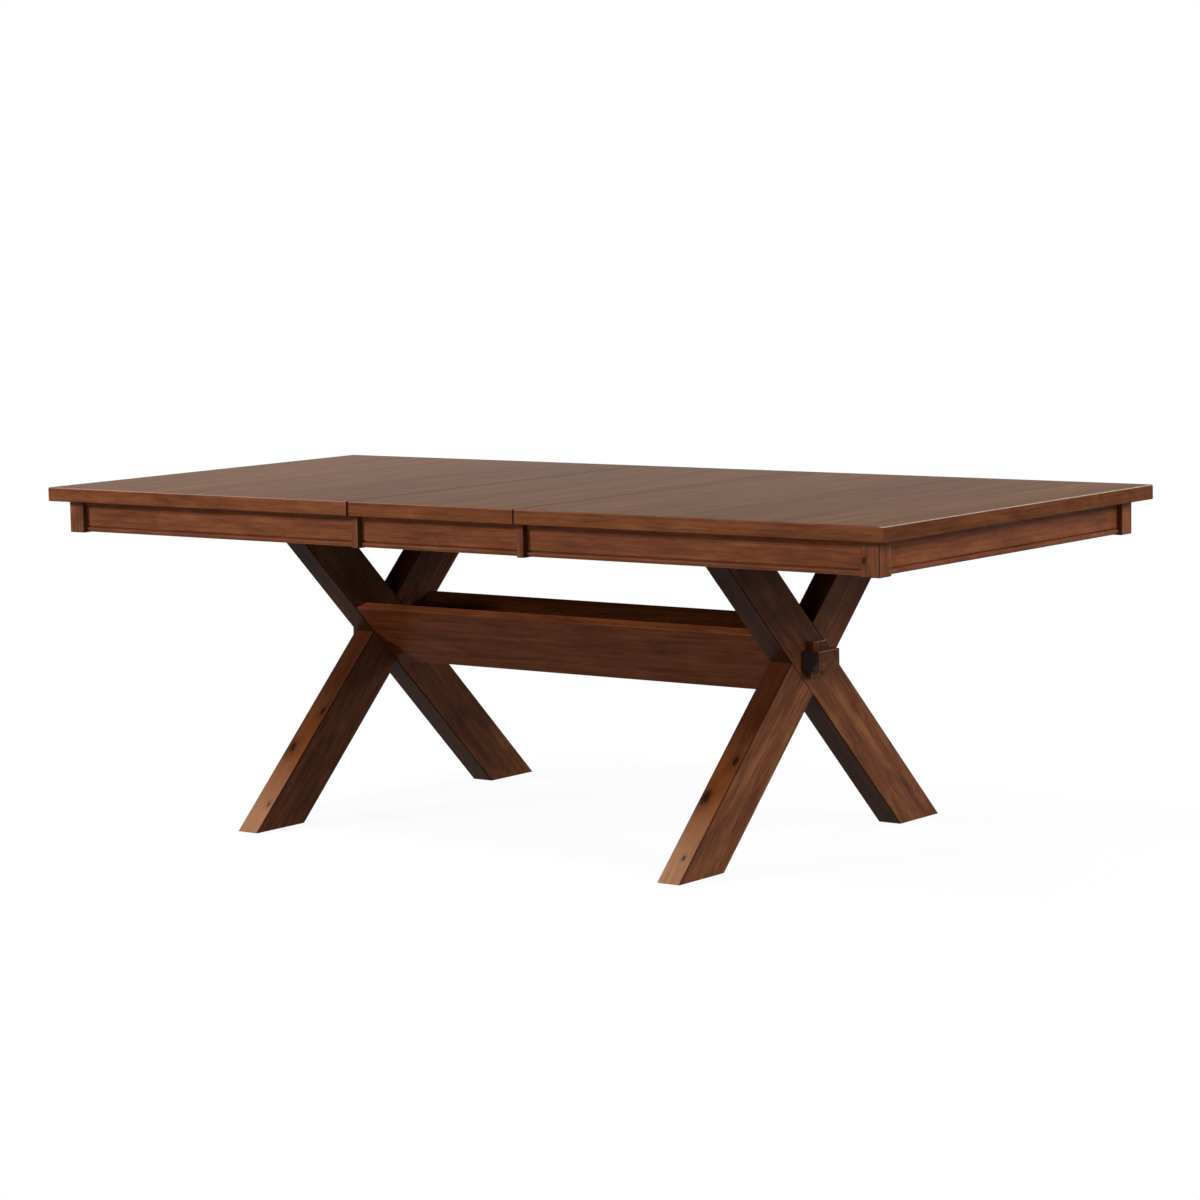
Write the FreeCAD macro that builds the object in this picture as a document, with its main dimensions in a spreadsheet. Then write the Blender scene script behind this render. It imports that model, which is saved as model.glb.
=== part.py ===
import FreeCAD, Part
import os
import re
import Sketcher

# An extending sawbuck dining table, in millimetres.
# X runs along the table, -Y is the side that faces the viewer, Z is up and the floor is Z = 0.
# The top is two halves with a drop-in leaf between them, carried by a fixed trestle of two X frames.

os.makedirs("parts", exist_ok=True)
doc = FreeCAD.newDocument("sawbuck_table")
vector = FreeCAD.Vector

# Driving dimensions. Every length in the model is one of these or a sum of them.
SIZES = {
    # the whole table with the leaf in place
    "table_length": 2286,
    "table_width": 1066.8,
    "table_height": 762,
    "top_thickness": 32,
    "leaf_length": 457.2,
    "seam_gap": 1,
    "seam_ease": 0.8,
    "top_round": 2.5,
    # apron: corner posts, recessed panels with a bead along the bottom, stiles at the seams
    "overhang": 34,
    "apron_setback": 12,
    "apron_height": 71,
    "apron_thickness": 20,
    "bead_height": 9,
    "bead_depth": 3.5,
    "quirk_height": 3,
    "quirk_depth": 2.5,
    "bead_foot": 2,
    "post_size": 44,
    "post_height": 73,
    "stile_width": 20,
    "stile_height": 73,
    "edge_ease": 1.5,
    "block_leg": 62,
    "block_height": 50,
    "block_gap": 0.5,
    # X frames: legs halved into each other, their tops and feet set out as shares of the top's half size
    "frame_share": 0.5112,
    "foot_share": 0.7875,
    "head_share": 0.5002,
    "leg_thickness": 58,
    "leg_width": 112,
    "leg_ease": 2,
    "lap_clearance": 0.25,
    "glide_rise": 2,
    "glide_recess": 3,
    "glide_radius": 14,
    "glide_spread": 45,
    "glide_clearance": 0.4,
    # V-shaped trough between the frames, with a tenon block at each end and its wedge
    "plank_thickness": 17.5,
    "plank_width": 198,
    "plank_inset": 1.8,
    "plank_ease": 1.5,
    "end_block_length": 70,
    "end_block_rise": 78,
    "tenon_width": 82,
    "tenon_height": 43,
    "tenon_reach": 42,
    "tenon_fit": 0.25,
    "tenon_ease": 2,
    "key_width": 52,
    "key_thin": 10,
    "key_thick": 20,
    "key_below": 39,
    "key_above": 40,
    "key_relief": 4,
    "key_fit": 0.25,
    "key_ease": 2,
    # head beams on the frames and the fixed runners of the extension slides
    "head_height": 25,
    "head_width": 82,
    "head_end_gap": 37.4,
    "head_bevel": 15,
    "slide_share": 0.4875,
    "runner_end": 19,
    "runner_height": 32,
    "runner_clearance": 0.5,
    "slide_clearance": 0.9,
    "rail_thickness": 24,
    "rail_clearance": 2,
    "rail_end_gap": 227,
    "rail_lap": 51,
    "relief_depth": 1,
    "relief_margin": 10,
    "rib_reach": 8,
    "rib_height": 7,
    "rib_drop": 12.5,
    "groove_clearance": 0.5,
    # equalising gear: a pinion on the runner between a rack cut in each rail
    "pinion_teeth": 16,
    "tooth_module": 3.6,
    "addendum_share": 0.8,
    "dedendum_share": 1.0,
    "tooth_pitch_share": 0.69,
    "tooth_tip_share": 0.34,
    "tooth_root_share": 0.74,
    "rack_slope_share": 0.364,
    "backlash": 0.5,
    "rack_spare": 2,
    "rack_tail": 7,
    "pinion_floor": 6,
    "pinion_thickness": 10,
    "pinion_clearance": 1,
    "pinion_room": 3,
    "axle_radius": 4,
    "axle_clearance": 0.3,
    "bore_clearance": 0.05,
    "axle_head_radius": 8,
    "axle_head_height": 3,
    "axle_tip": 8,
    # fasteners and alignment pins
    "screw_radius": 2.5,
    "screw_head_radius": 5,
    "screw_head_height": 3,
    "screw_clearance": 0.3,
    "screw_bite": 18,
    "screw_tip_gap": 1,
    "rail_counterbore": 10,
    "batten_counterbore": 5,
    "head_screw_spread": 58,
    "runner_screw_offset": 33,
    "rail_screw_end": 60,
    "rail_screw_seam": 91,
    "batten_width": 60,
    "batten_height": 25,
    "batten_end_gap": 20,
    "batten_screw_end": 60,
    "pin_radius": 5,
    "pin_reach": 14,
    "pin_seat": 22,
    "pin_clearance": 0.4,
    "left_pin_share": 0.62,
    "right_pin_share": 0.36,
    # how far a cutting shape runs past the face it cuts
    "overrun": 5,
}

# Values that follow from the driving dimensions.
DERIVED = {
    "under_top": "table_height - top_thickness",
    "inner_end": "leaf_length / 2 + seam_gap / 2",
    "leaf_end": "leaf_length / 2 - seam_gap / 2",
    "post_face_x": "table_length / 2 - overhang",
    "post_face_y": "table_width / 2 - overhang",
    "panel_face_x": "post_face_x - apron_setback",
    "panel_face_y": "post_face_y - apron_setback",
    "panel_back_x": "panel_face_x - apron_thickness",
    "panel_back_y": "panel_face_y - apron_thickness",
    "post_inner_x": "post_face_x - post_size",
    "post_inner_y": "post_face_y - post_size",
    "frame_x": "frame_share * table_length / 2",
    "foot_spread": "foot_share * table_width / 2",
    "head_spread": "head_share * table_width / 2",
    "leg_run": "(foot_spread + head_spread) / head_bottom",
    "leg_side": "sqrt(1 + leg_run ^ 2)",
    "leg_half": "leg_width * leg_side / 2",
    "cross_height": "foot_spread / leg_run",
    "frame_inner": "frame_x - leg_thickness / 2",
    "frame_outer": "frame_x + leg_thickness / 2",
    "runner_top": "under_top - runner_clearance",
    "runner_bottom": "runner_top - runner_height",
    "head_bottom": "runner_bottom - head_height",
    "foot_y": "foot_spread - glide_rise * leg_run",
    "head_half": "panel_back_y - head_end_gap",
    "slide_y": "slide_share * table_width / 2",
    "runner_length": "2 * (frame_x + head_width / 2 + runner_end)",
    "rail_back": "panel_back_x - rail_end_gap",
    "rail_front": "inner_end + rail_lap",
    "rail_screw_pitch": "(rail_back - rail_screw_end - inner_end - rail_screw_seam) / 2",
    "rack_lead": "ceil(leaf_length / 2 / gear_pitch) + rack_spare",
    "rack_gaps": "rack_lead + rack_tail",
    "left_pin_y": "left_pin_share * table_width / 2",
    "right_pin_y": "right_pin_share * table_width / 2",
    "lap_reach": "leg_half / leg_run + overrun",
    "apex_outer": "cross_height - (leg_half - plank_inset * leg_side) / leg_run",
    "apex_inner": "apex_outer + plank_thickness * leg_side / leg_run",
    "plank_top_y": "plank_width * leg_run / leg_side",
    "plank_top_z": "apex_outer + plank_width / leg_side",
    "plank_lip_y": "plank_top_y - plank_thickness / leg_side",
    "plank_lip_z": "plank_top_z + plank_thickness * leg_run / leg_side",
    "key_taper": "(key_thick - key_thin) / (key_below + key_above)",
    "key_middle": "key_thin + key_below * key_taper",
    "mortise_half": "tenon_height / 2 + overrun",
    "pitch_radius": "pinion_teeth * tooth_module / 2",
    "gear_pitch": "pi * tooth_module",
    "addendum": "addendum_share * tooth_module",
    "dedendum": "dedendum_share * tooth_module",
    "rail_inner": "pitch_radius - addendum",
    "rail_outer": "rail_inner + rail_thickness",
    "rail_bottom": "runner_bottom + rail_clearance",
    "runner_half": "rail_inner - slide_clearance",
    "rib_top": "runner_top - rib_drop + rib_height",
    "rib_bottom": "runner_top - rib_drop",
    "groove_floor": "rail_inner - rib_reach - groove_clearance",
    "pinion_bottom": "runner_bottom + pinion_floor",
    "pinion_top": "pinion_bottom + pinion_thickness",
    "tip_radius": "pitch_radius + addendum",
    "root_radius": "pitch_radius - dedendum",
    "pin_height": "under_top + top_thickness / 2",
    "batten_start": "inner_end + batten_end_gap",
    "batten_stop": "panel_back_x - batten_end_gap",
    "leaf_batten_half": "leaf_end - batten_end_gap",
}

sheet = doc.addObject("Spreadsheet::Sheet", "sizes")
for row, name in enumerate(SIZES, 1):
    sheet.set("A%d" % row, name)
    sheet.set("B%d" % row, str(SIZES[name]))
    sheet.setAlias("B%d" % row, name)
doc.recompute()


def full(text):
    """The text with every name of a size or derived value written out for the document."""
    def written(match):
        word = match.group(0)
        if word in SIZES:
            return "sizes." + word
        if word in DERIVED:
            return "(" + full(DERIVED[word]) + ")"
        return word
    return re.sub(r"[A-Za-z_]\w*", written, text)


def value(text):
    """The present number that a sum of sizes stands for."""
    return float(sheet.evalExpression(full(text)))


def bind(thing, **sums):
    """Tie the named properties of an object to sums of sizes."""
    for prop, text in sums.items():
        thing.setExpression(prop, full(text))


def place(thing, x="0", y="0", z="0", turn=0):
    """Turn an object about Z and tie its position to sums of sizes."""
    thing.Placement = FreeCAD.Placement(vector(0, 0, 0), FreeCAD.Rotation(vector(0, 0, 1), turn))
    for axis, text in (("x", x), ("y", y), ("z", z)):
        thing.setExpression("Placement.Base." + axis, full(text))


def new_body(name):
    made = doc.addObject("PartDesign::Body", name)
    made.Label = name
    made.AllowCompound = True
    return made


def origin_item(body, role):
    return [item for item in body.Origin.OriginFeatures if item.Role == role][0]


def fix_point(sketch, geometry, point, x, y):
    """Hold one sketch point at x, y; a zero puts it on the axis."""
    for kind, axis, text in (("DistanceX", -2, x), ("DistanceY", -1, y)):
        if text == "0":
            sketch.addConstraint(Sketcher.Constraint("PointOnObject", geometry, point, axis))
        else:
            number = sketch.addConstraint(Sketcher.Constraint(kind, -1, 1, geometry, point, value(text)))
            sketch.setExpression("Constraints[%d]" % number, full(text))


def new_sketch(body, name, plane, outlines=(), circles=(), offset="0"):
    """A sketch on an origin plane, made of closed outlines of (x, y) sums and circles of (x, y, radius).

    An outline corner with a third entry starts an arc of that radius that bulges away from the outline's
    start.
    """
    sketch = body.newObject("Sketcher::SketchObject", name)
    sketch.AttachmentSupport = [(origin_item(body, plane), "")]
    sketch.MapMode = "FlatFace"
    sketch.setExpression("AttachmentOffset.Base.z", full(offset))
    for outline in outlines:
        corners = [vector(value(c[0]), value(c[1]), 0) for c in outline]
        ends = []
        for i, corner in enumerate(outline):
            start = corners[i]
            stop = corners[(i + 1) % len(corners)]
            if len(corner) == 2:
                number = sketch.addGeometry(Part.LineSegment(start, stop), False)
                ends.append((number, 1, 2))
                continue
            radius = value(corner[2])
            chord = stop - start
            half = chord.Length / 2
            rise = radius - (radius * radius - half * half) ** 0.5
            side = vector(chord.y, -chord.x, 0).normalize()
            crown = start + chord * 0.5 + side * rise
            number = sketch.addGeometry(Part.Arc(start, crown, stop), False)
            first = 1 if (sketch.getPoint(number, 1) - start).Length < half else 2
            ends.append((number, first, 3 - first))
        for i, end in enumerate(ends):
            after = ends[(i + 1) % len(ends)]
            sketch.addConstraint(Sketcher.Constraint("Coincident", end[0], end[2], after[0], after[1]))
        for end, corner in zip(ends, outline):
            fix_point(sketch, end[0], end[1], corner[0], corner[1])
            if len(corner) == 3:
                number = sketch.addConstraint(Sketcher.Constraint("Radius", end[0], value(corner[2])))
                sketch.setExpression("Constraints[%d]" % number, full(corner[2]))
    for x, y, radius in circles:
        centre = vector(value(x), value(y), 0)
        number = sketch.addGeometry(Part.Circle(centre, vector(0, 0, 1), value(radius)), False)
        fix_point(sketch, number, 3, x, y)
        limit = sketch.addConstraint(Sketcher.Constraint("Radius", number, value(radius)))
        sketch.setExpression("Constraints[%d]" % limit, full(radius))
    return sketch


def pad(body, sketch, length, both_ways=False, back=False):
    made = body.newObject("PartDesign::Pad", sketch.Name + "_pad")
    made.Profile = sketch
    made.Reversed = back
    if both_ways:
        made.SideType = "Symmetric"
    bind(made, Length=length)
    sketch.Visibility = False
    doc.recompute()
    return made


def cut(body, sketch, length, both_ways=False, back=False):
    """A pocket that must take material away, so it is turned round if it took none."""
    before = body.Shape.Volume
    made = body.newObject("PartDesign::Pocket", sketch.Name + "_cut")
    made.Profile = sketch
    made.Reversed = back
    if both_ways:
        made.SideType = "Symmetric"
    bind(made, Length=length)
    sketch.Visibility = False
    doc.recompute()
    if not body.Shape.Volume < before:
        raise RuntimeError(made.Name + " removes nothing")
    return made


def drill(body, sketch, hole_radius, head_radius, head_depth, back=False):
    """Through holes with a counterbore for the screw heads."""
    doc.recompute()
    before = body.Shape.Volume
    made = body.newObject("PartDesign::Hole", sketch.Name + "_hole")
    made.Profile = sketch
    made.DepthType = "ThroughAll"
    made.HoleCutType = "Counterbore"
    made.HoleCutCustomValues = True
    made.Reversed = back
    bind(made, Diameter="2 * (" + hole_radius + ")", HoleCutDiameter="2 * (" + head_radius + ")",
         HoleCutDepth=head_depth)
    sketch.Visibility = False
    doc.recompute()
    if not body.Shape.Volume < before:
        raise RuntimeError(made.Name + " removes nothing")
    return made


def ease(body, kind, size, wanted):
    """Chamfer or round the edges of the body's tip that answer the test."""
    tip = body.Tip
    names = ["Edge%d" % (i + 1) for i, edge in enumerate(tip.Shape.Edges) if wanted(edge)]
    made = body.newObject("PartDesign::" + kind, body.Name + "_" + kind.lower())
    made.Base = (tip, names)
    if kind == "Fillet":
        bind(made, Radius=size)
    else:
        bind(made, Size=size)
    doc.recompute()
    return made


def box_outline(x0, x1, y0, y1):
    return [(x0, y0), (x1, y0), (x1, y1), (x0, y1)]


def runs_along(edge, axis):
    ends = [v.Point for v in edge.Vertexes]
    if len(ends) < 2:
        return False
    step = ends[1] - ends[0]
    return abs(abs(step.dot(axis)) - edge.Length) < edge.Length / 1000


along_x = vector(1, 0, 0)
along_y = vector(0, 1, 0)
along_z = vector(0, 0, 1)
nodes = []


def keep(thing):
    nodes.append(thing)
    return thing


# Legs. Leg "a" rises towards the viewer and shows whole on the outer face of the crossing,
# leg "b" rises away and is the other half of the lap. Each pair is cut through for the tenon.
def leg(name, x, lean, near_half):
    body = new_body(name)
    foot = lean + " * foot_y"
    head = "-1 * " + lean + " * head_spread"
    outline = [(foot + " - leg_half", "glide_rise"), (foot + " + leg_half", "glide_rise"),
               (head + " + leg_half", "head_bottom"), (head + " - leg_half", "head_bottom")]
    pad(body, new_sketch(body, name + "_side", "YZ_Plane", [outline]), "leg_thickness", both_ways=True)
    slant = vector(0, value(head) - value(foot), value("head_bottom - glide_rise")).normalize()
    ease(body, "Chamfer", "leg_ease", lambda edge: runs_along(edge, slant))
    wide = "leg_half + lap_clearance"
    low = "-1 * " + lean + " * lap_reach * leg_run"
    high = lean + " * lap_reach * leg_run"
    lap = [(low + " - (" + wide + ")", "cross_height - lap_reach"),
           (low + " + (" + wide + ")", "cross_height - lap_reach"),
           (high + " + (" + wide + ")", "cross_height + lap_reach"),
           (high + " - (" + wide + ")", "cross_height + lap_reach")]
    cut(body, new_sketch(body, name + "_lap", "YZ_Plane", [lap]), "leg_thickness", back=near_half)
    mortise = box_outline("-1 * (tenon_width / 2 + tenon_fit)", "tenon_width / 2 + tenon_fit",
                          "cross_height - tenon_height / 2 - tenon_fit",
                          "cross_height + tenon_height / 2 + tenon_fit")
    cut(body, new_sketch(body, name + "_mortise", "YZ_Plane", [mortise]), "2 * leg_thickness", both_ways=True)
    glides = [("0", foot + " " + sign + " glide_spread", "glide_radius + glide_clearance") for sign in "-+"]
    cut(body, new_sketch(body, name + "_glide_seats", "XY_Plane", circles=glides, offset="glide_rise"),
        "glide_recess", back=True)
    pilots = [("0", head + " " + sign + " head_screw_spread", "screw_radius + screw_clearance")
              for sign in "-+"]
    cut(body, new_sketch(body, name + "_pilots", "XY_Plane", circles=pilots, offset="head_bottom"),
        "screw_bite + screw_tip_gap")
    place(body, x=x)
    return keep(body)


leg("leg_left_a", "-1 * frame_x", "1", False)
leg("leg_left_b", "-1 * frame_x", "-1", True)
leg("leg_right_a", "frame_x", "1", False)
leg("leg_right_b", "frame_x", "-1", True)

# Glides under the feet, two to a foot, seated in recesses.
glides = new_body("foot_glides")
spots = []
for frame_side in ("-1 * frame_x", "frame_x"):
    for lean in ("1", "-1"):
        for sign in "-+":
            spots.append((frame_side, lean + " * foot_y " + sign + " glide_spread", "glide_radius"))
pad(glides, new_sketch(glides, "glide_discs", "XY_Plane", circles=spots), "glide_rise + glide_recess")
place(glides)
keep(glides)


# Head beams lie across the leg tops.
# Their screws go down into the legs, and the runner screws come up through them.
def head_beam(name, x):
    body = new_body(name)
    outline = [("-1 * head_half", "runner_bottom"), ("-1 * head_half", "head_bottom + head_bevel"),
               ("head_bevel - head_half", "head_bottom"), ("head_half - head_bevel", "head_bottom"),
               ("head_half", "head_bottom + head_bevel"), ("head_half", "runner_bottom")]
    pad(body, new_sketch(body, name + "_side", "YZ_Plane", [outline]), "head_width", both_ways=True)
    down = [("0", lean + " * head_spread " + sign + " head_screw_spread", "screw_radius")
            for lean in ("1", "-1") for sign in "-+"]
    drill(body, new_sketch(body, name + "_down_holes", "XY_Plane", circles=down, offset="runner_bottom"),
          "screw_radius + screw_clearance", "screw_head_radius + screw_clearance", "screw_head_height")
    up = [(side + " * runner_screw_offset", unit + " * slide_y", "screw_radius")
          for side in ("1", "-1") for unit in ("1", "-1")]
    drill(body, new_sketch(body, name + "_up_holes", "XY_Plane", circles=up, offset="head_bottom"),
          "screw_radius + screw_clearance", "screw_head_radius + screw_clearance", "screw_head_height",
          back=True)
    place(body, x=x)
    return keep(body)


head_beam("head_beam_left", "-1 * frame_x")
head_beam("head_beam_right", "frame_x")


# A group of identical screws in one node: heads from the seat plane one way, shanks the other way.
def screw_group(name, spots, seat, shank, upwards):
    body = new_body(name)
    heads = [(x, y, "screw_head_radius") for x, y in spots]
    shanks = [(x, y, "screw_radius") for x, y in spots]
    pad(body, new_sketch(body, name + "_heads", "XY_Plane", circles=heads, offset=seat), "screw_head_height",
        back=not upwards)
    start = seat + (" + screw_head_height" if upwards else " - screw_head_height")
    pad(body, new_sketch(body, name + "_shanks", "XY_Plane", circles=shanks, offset=start), shank,
        back=not upwards)
    place(body)
    return keep(body)


down_spots = [(frame_side, lean + " * head_spread " + sign + " head_screw_spread")
              for frame_side in ("-1 * frame_x", "frame_x") for lean in ("1", "-1") for sign in "-+"]
screw_group("head_screws", down_spots, "runner_bottom", "head_height - screw_head_height + screw_bite", False)
up_spots = [(frame_side + " " + side + " runner_screw_offset", unit + " * slide_y")
            for frame_side in ("-1 * frame_x", "frame_x") for side in "+-" for unit in ("1", "-1")]
screw_group("runner_screws", up_spots, "head_bottom", "head_height - screw_head_height + screw_bite", True)


# Trough planks follow the slope of the legs and meet in a mitre at the bottom of the V.
def trough_plank(name, side):
    body = new_body(name)
    outline = [("0", "apex_outer"), (side + " * plank_top_y", "plank_top_z"),
               (side + " * plank_lip_y", "plank_lip_z"), ("0", "apex_inner")]
    pad(body, new_sketch(body, name + "_end", "YZ_Plane", [outline]), "2 * frame_inner", both_ways=True)
    middle = value("(plank_top_z + plank_lip_z) / 2")
    reach = value("plank_thickness")
    ease(body, "Chamfer", "plank_ease",
         lambda edge: runs_along(edge, along_x) and abs(edge.CenterOfMass.z - middle) < reach)
    place(body)
    return keep(body)


trough_plank("trough_plank_front", "-1")
trough_plank("trough_plank_rear", "1")


# Tenon blocks sit in the ends of the trough and pass through the crossing of the legs.
# The slot for the wedge is cut parallel to the wedge's taper, so driving the wedge pulls the frame home.
def tenon_block(name, turn):
    body = new_body(name)
    outline = [("0", "apex_inner"), ("end_block_rise * leg_run", "apex_inner + end_block_rise"),
               ("-1 * end_block_rise * leg_run", "apex_inner + end_block_rise")]
    pad(body, new_sketch(body, name + "_end", "YZ_Plane", [outline], offset="frame_inner"),
        "end_block_length", back=True)
    tenon = box_outline("-1 * tenon_width / 2", "tenon_width / 2",
                        "cross_height - tenon_height / 2", "cross_height + tenon_height / 2")
    pad(body, new_sketch(body, name + "_tenon", "YZ_Plane", [tenon], offset="frame_inner"),
        "leg_thickness + tenon_reach")
    far = value("frame_outer + tenon_reach")
    ease(body, "Chamfer", "tenon_ease",
         lambda edge: all(abs(v.X - far) < value("overrun") / 1000 for v in edge.Vertexes))
    inside = "frame_outer - key_relief"
    slot = [(inside, "cross_height - mortise_half"),
            ("frame_outer + key_middle - mortise_half * key_taper + key_fit", "cross_height - mortise_half"),
            ("frame_outer + key_middle + mortise_half * key_taper + key_fit", "cross_height + mortise_half"),
            (inside, "cross_height + mortise_half")]
    cut(body, new_sketch(body, name + "_slot", "XZ_Plane", [slot]), "key_width + 2 * key_fit", both_ways=True)
    place(body, turn=turn)
    return keep(body)


def wedge_key(name, turn):
    body = new_body(name)
    outline = [("frame_outer", "cross_height - key_below"),
               ("frame_outer + key_thin", "cross_height - key_below"),
               ("frame_outer + key_thick", "cross_height + key_above"),
               ("frame_outer", "cross_height + key_above")]
    pad(body, new_sketch(body, name + "_side", "XZ_Plane", [outline]), "key_width", both_ways=True)
    top = value("cross_height + key_above")
    bottom = value("cross_height - key_below")
    near = value("key_ease")
    ease(body, "Chamfer", "key_ease",
         lambda edge: abs(edge.CenterOfMass.z - top) < near or abs(edge.CenterOfMass.z - bottom) < near)
    place(body, turn=turn)
    return keep(body)


tenon_block("tenon_block_right", 0)
tenon_block("tenon_block_left", 180)
wedge_key("wedge_key_right", 0)
wedge_key("wedge_key_left", 180)


# Fixed runners of the two extension slides: a groove on each side for the moving rails,
# a window through the middle for the equalising pinion and a hole from below for its axle.
def runner(name, unit):
    body = new_body(name)
    side = "runner_half"
    low = "rib_bottom - groove_clearance"
    high = "rib_top + groove_clearance"
    outline = [("-1 * " + side, "runner_bottom"), (side, "runner_bottom"), (side, low), ("groove_floor", low),
               ("groove_floor", high), (side, high), (side, "runner_top"), ("-1 * " + side, "runner_top"),
               ("-1 * " + side, high), ("-1 * (groove_floor)", high),
               ("-1 * (groove_floor)", low), ("-1 * " + side, low)]
    pad(body, new_sketch(body, name + "_end", "YZ_Plane", [outline]), "runner_length", both_ways=True)
    window = box_outline("-1 * (tip_radius + pinion_room)", "tip_radius + pinion_room",
                         "pinion_bottom - pinion_clearance", "pinion_top + pinion_clearance")
    cut(body, new_sketch(body, name + "_window", "XZ_Plane", [window]), "4 * runner_half", both_ways=True)
    axle = [("0", "0", "axle_radius + axle_clearance")]
    cut(body, new_sketch(body, name + "_axle_hole", "XY_Plane", circles=axle, offset="runner_bottom"),
        "pinion_floor + pinion_thickness + axle_tip + axle_clearance", back=True)
    pilots = [(frame_side + " " + sign + " runner_screw_offset", "0", "screw_radius + screw_clearance")
              for frame_side in ("-1 * frame_x", "frame_x") for sign in "+-"]
    cut(body, new_sketch(body, name + "_pilots", "XY_Plane", circles=pilots, offset="runner_bottom"),
        "screw_bite + screw_tip_gap", back=True)
    place(body, y=unit + " * slide_y")
    return keep(body)


runner("runner_front", "-1")
runner("runner_rear", "1")

# Headed axles for the pinions, pushed up into the runners from below.
axles = new_body("pinion_axles")
pad(axles, new_sketch(axles, "axle_heads", "XY_Plane", offset="runner_bottom",
                      circles=[("0", unit + " * slide_y", "axle_head_radius") for unit in ("-1", "1")]),
    "axle_head_height", back=True)
pad(axles, new_sketch(axles, "axle_shanks", "XY_Plane", offset="runner_bottom",
                      circles=[("0", unit + " * slide_y", "axle_radius") for unit in ("-1", "1")]),
    "pinion_floor + pinion_thickness + axle_tip")
place(axles)
keep(axles)


# Equalising pinion: a root disc, one tooth and its polar pattern, then the bore.
def pinion(name, unit):
    body = new_body(name)
    pad(body, new_sketch(body, name + "_disc", "XY_Plane", circles=[("0", "0", "root_radius")]),
        "pinion_thickness")
    seat = "root_radius - addendum"
    profile = [(seat, "-1 * tooth_root_share * tooth_module"),
               ("root_radius", "-1 * tooth_root_share * tooth_module"),
               ("pitch_radius", "-1 * tooth_pitch_share * tooth_module"),
               ("tip_radius", "-1 * tooth_tip_share * tooth_module"),
               ("tip_radius", "tooth_tip_share * tooth_module"),
               ("pitch_radius", "tooth_pitch_share * tooth_module"),
               ("root_radius", "tooth_root_share * tooth_module"),
               (seat, "tooth_root_share * tooth_module")]
    tooth = pad(body, new_sketch(body, name + "_tooth", "XY_Plane", [profile]), "pinion_thickness")
    ring = body.newObject("PartDesign::PolarPattern", name + "_ring")
    ring.Originals = [tooth]
    ring.Axis = (origin_item(body, "Z_Axis"), [""])
    ring.Angle = 360
    bind(ring, Occurrences="pinion_teeth")
    body.Tip = ring
    doc.recompute()
    bore = [("0", "0", "axle_radius + bore_clearance")]
    cut(body, new_sketch(body, name + "_bore", "XY_Plane", circles=bore), "4 * pinion_thickness",
        both_ways=True)
    place(body, y=unit + " * slide_y", z="pinion_bottom")
    return keep(body)


pinion("pinion_front", "-1")
pinion("pinion_rear", "1")


# Moving rails. A left rail runs on the viewer's side of its runner, a right rail is the same piece turned
# half round. The rib rides in the runner's groove and the rack below it meets the pinion.
def rail_screws_x():
    return ["rail_screw_end - rail_back + " + str(i) + " * rail_screw_pitch" for i in range(3)]


def rail(name, unit, turn):
    body = new_body(name)
    side = "-1 * rail_inner"
    reach = "rib_reach - rail_inner"
    outline = [("-1 * rail_outer", "rail_bottom"), (side, "rail_bottom"), (side, "rib_bottom"),
               (reach, "rib_bottom"), (reach, "rib_top"), (side, "rib_top"),
               (side, "under_top"), ("-1 * rail_outer", "under_top")]
    pad(body, new_sketch(body, name + "_end", "YZ_Plane", [outline], offset="-1 * rail_back"),
        "rail_back + rail_front")
    relief = box_outline("-1 * (inner_end + relief_margin)", "rail_front + overrun",
                         "under_top - relief_depth", "under_top + overrun")
    cut(body, new_sketch(body, name + "_relief", "XZ_Plane", [relief]), "4 * rail_outer", both_ways=True)
    pitch_half = "gear_pitch / 4 + backlash / 2"
    first = "-1 * rack_lead * gear_pitch"
    mouth = pitch_half + " + addendum * rack_slope_share"
    floor = pitch_half + " - dedendum * rack_slope_share"
    root = "-1 * (pitch_radius + dedendum + backlash)"
    gap = [(first + " - (" + mouth + ")", side + " + overrun"), (first + " - (" + mouth + ")", side),
           (first + " - (" + floor + ")", root), (first + " + " + floor, root),
           (first + " + " + mouth, side), (first + " + " + mouth, side + " + overrun")]
    tooth_gap = cut(body, new_sketch(body, name + "_gap", "XY_Plane", [gap], offset="rail_bottom"),
                    "pinion_top + pinion_clearance - rail_bottom", back=True)
    rack = body.newObject("PartDesign::LinearPattern", name + "_rack")
    rack.Originals = [tooth_gap]
    rack.Direction = (origin_item(body, "X_Axis"), [""])
    bind(rack, Length="(rack_gaps - 1) * gear_pitch", Occurrences="rack_gaps")
    body.Tip = rack
    doc.recompute()
    spots = [(x, "-1 * (rail_inner + rail_thickness / 2)", "screw_radius") for x in rail_screws_x()]
    drill(body, new_sketch(body, name + "_holes", "XY_Plane", circles=spots, offset="rail_bottom"),
          "screw_radius + screw_clearance", "screw_head_radius + screw_clearance", "rail_counterbore",
          back=True)
    place(body, y=unit + " * slide_y", turn=turn)
    return keep(body)


rail("rail_left_front", "-1", 0)
rail("rail_left_rear", "1", 0)
rail("rail_right_front", "-1", 180)
rail("rail_right_rear", "1", 180)


# Top panels. The half tops are rounded on their outer edges, lightly bevelled along the seam, drilled for
# the alignment pins and sockets in the seam face and for the screws underneath. "side" is -1 for the left
# half and 1 for the right.
def seam_screws_x(side):
    rails = [side + " * (rail_back - rail_screw_end - " + str(i) + " * rail_screw_pitch)" for i in range(3)]
    battens = [side + " * (batten_start + batten_screw_end)", side + " * (batten_stop - batten_screw_end)"]
    return rails, battens


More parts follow.
